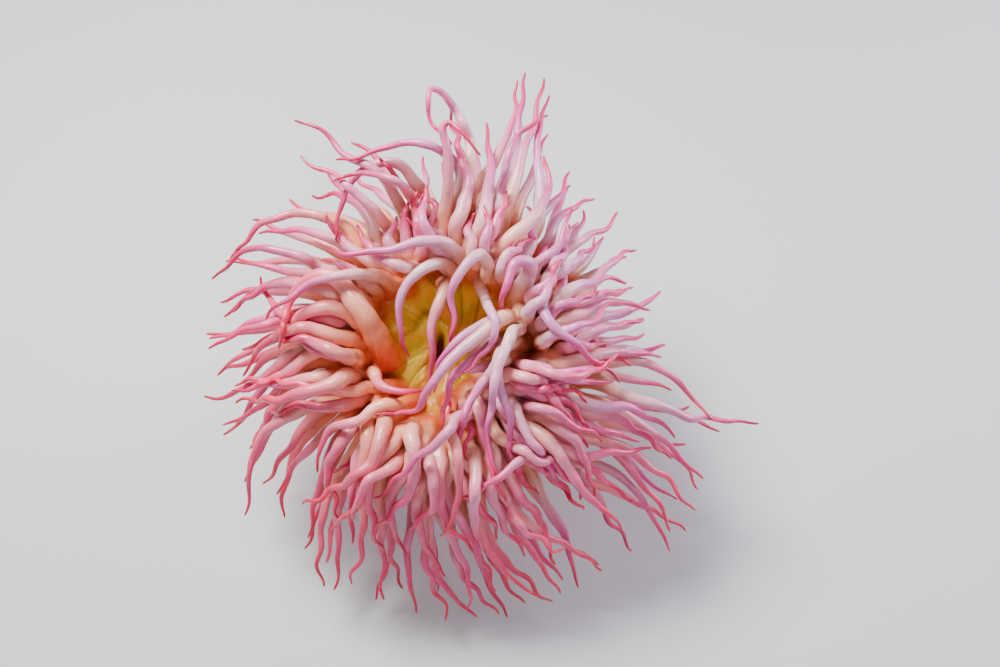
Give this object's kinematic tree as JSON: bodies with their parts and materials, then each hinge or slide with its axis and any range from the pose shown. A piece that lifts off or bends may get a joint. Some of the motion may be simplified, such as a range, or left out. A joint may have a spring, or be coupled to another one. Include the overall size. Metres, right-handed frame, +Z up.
{
  "type": "sea anemone model",
  "caption": "Life-size still model of a fish-eating sea anemone: red column on a flat pedal disc, yellow oral disc and a crown of long pale pink tentacles.",
  "frame": {"origin": "middle of the flat underside of the pedal disc", "axes": "+Z up; the crown leans and faces towards -Y; +X is to the right as its face is looked at"},
  "size_m": [0.2957, 0.2561, 0.2073],
  "materials": {
    "tentacle_skin": "wet translucent flesh, pale cream and pink with rose tips",
    "disc_skin": "wet flesh, golden yellow with peach folds",
    "lip_skin": "wet swollen flesh, rose red",
    "column_skin": "smooth wet crimson skin"
  },
  "bodies": {
    "root": {"column_lower": "column_skin", "column_upper": "column_skin", "crown_margin": "disc_skin", "mouth_lips": "lip_skin", "oral_disc": "disc_skin", "pedal_disc": "column_skin", "tentacle_bough": "tentacle_skin", "tentacle_crook": "tentacle_skin", "tentacle_cross": "tentacle_skin", "tentacle_cross_long": "tentacle_skin", "tentacle_cross_low": "tentacle_skin", "tentacle_disc_left": "tentacle_skin", "tentacle_disc_middle": "tentacle_skin", "tentacle_front_hang": "tentacle_skin", "tentacle_hook_1": "tentacle_skin", "tentacle_hook_2": "tentacle_skin", "tentacle_hook_3": "tentacle_skin", "tentacle_left_long": "tentacle_skin", "tentacle_left_over": "tentacle_skin", "tentacle_low_bend": "tentacle_skin", "tentacle_low_curl": "tentacle_skin", "tentacle_low_left": "tentacle_skin", "tentacle_mouth_side": "tentacle_skin", "tentacle_over_right": "tentacle_skin", "tentacle_plumb": "tentacle_skin", "tentacle_right_long_1": "tentacle_skin", "tentacle_right_long_2": "tentacle_skin", "tentacle_slant": "tentacle_skin", "tentacle_stray": "tentacle_skin", "tentacle_swan_1": "tentacle_skin", "tentacle_swan_2": "tentacle_skin", "tentacle_sweep": "tentacle_skin", "tentacle_thumb": "tentacle_skin", "tentacle_traverse": "tentacle_skin", "tentacles_outer_17": "tentacle_skin", "tentacles_outer_18": "tentacle_skin", "tentacles_outer_19": "tentacle_skin", "tentacles_outer_20": "tentacle_skin", "tentacles_outer_21": "tentacle_skin", "tentacles_outer_22": "tentacle_skin", "tentacles_outer_23": "tentacle_skin", "tentacles_outer_24": "tentacle_skin", "tentacles_outer_25": "tentacle_skin", "tentacles_outer_26": "tentacle_skin", "tentacles_second_01": "tentacle_skin", "tentacles_second_02": "tentacle_skin", "tentacles_second_03": "tentacle_skin", "tentacles_second_04": "tentacle_skin", "tentacles_second_05": "tentacle_skin", "tentacles_second_06": "tentacle_skin", "tentacles_third_07": "tentacle_skin", "tentacles_third_08": "tentacle_skin", "tentacles_third_09": "tentacle_skin", "tentacles_third_10": "tentacle_skin", "tentacles_third_11": "tentacle_skin", "tentacles_third_12": "tentacle_skin", "tentacles_third_13": "tentacle_skin", "tentacles_third_14": "tentacle_skin", "tentacles_third_15": "tentacle_skin", "tentacles_third_16": "tentacle_skin"}
  },
  "joints": []
}
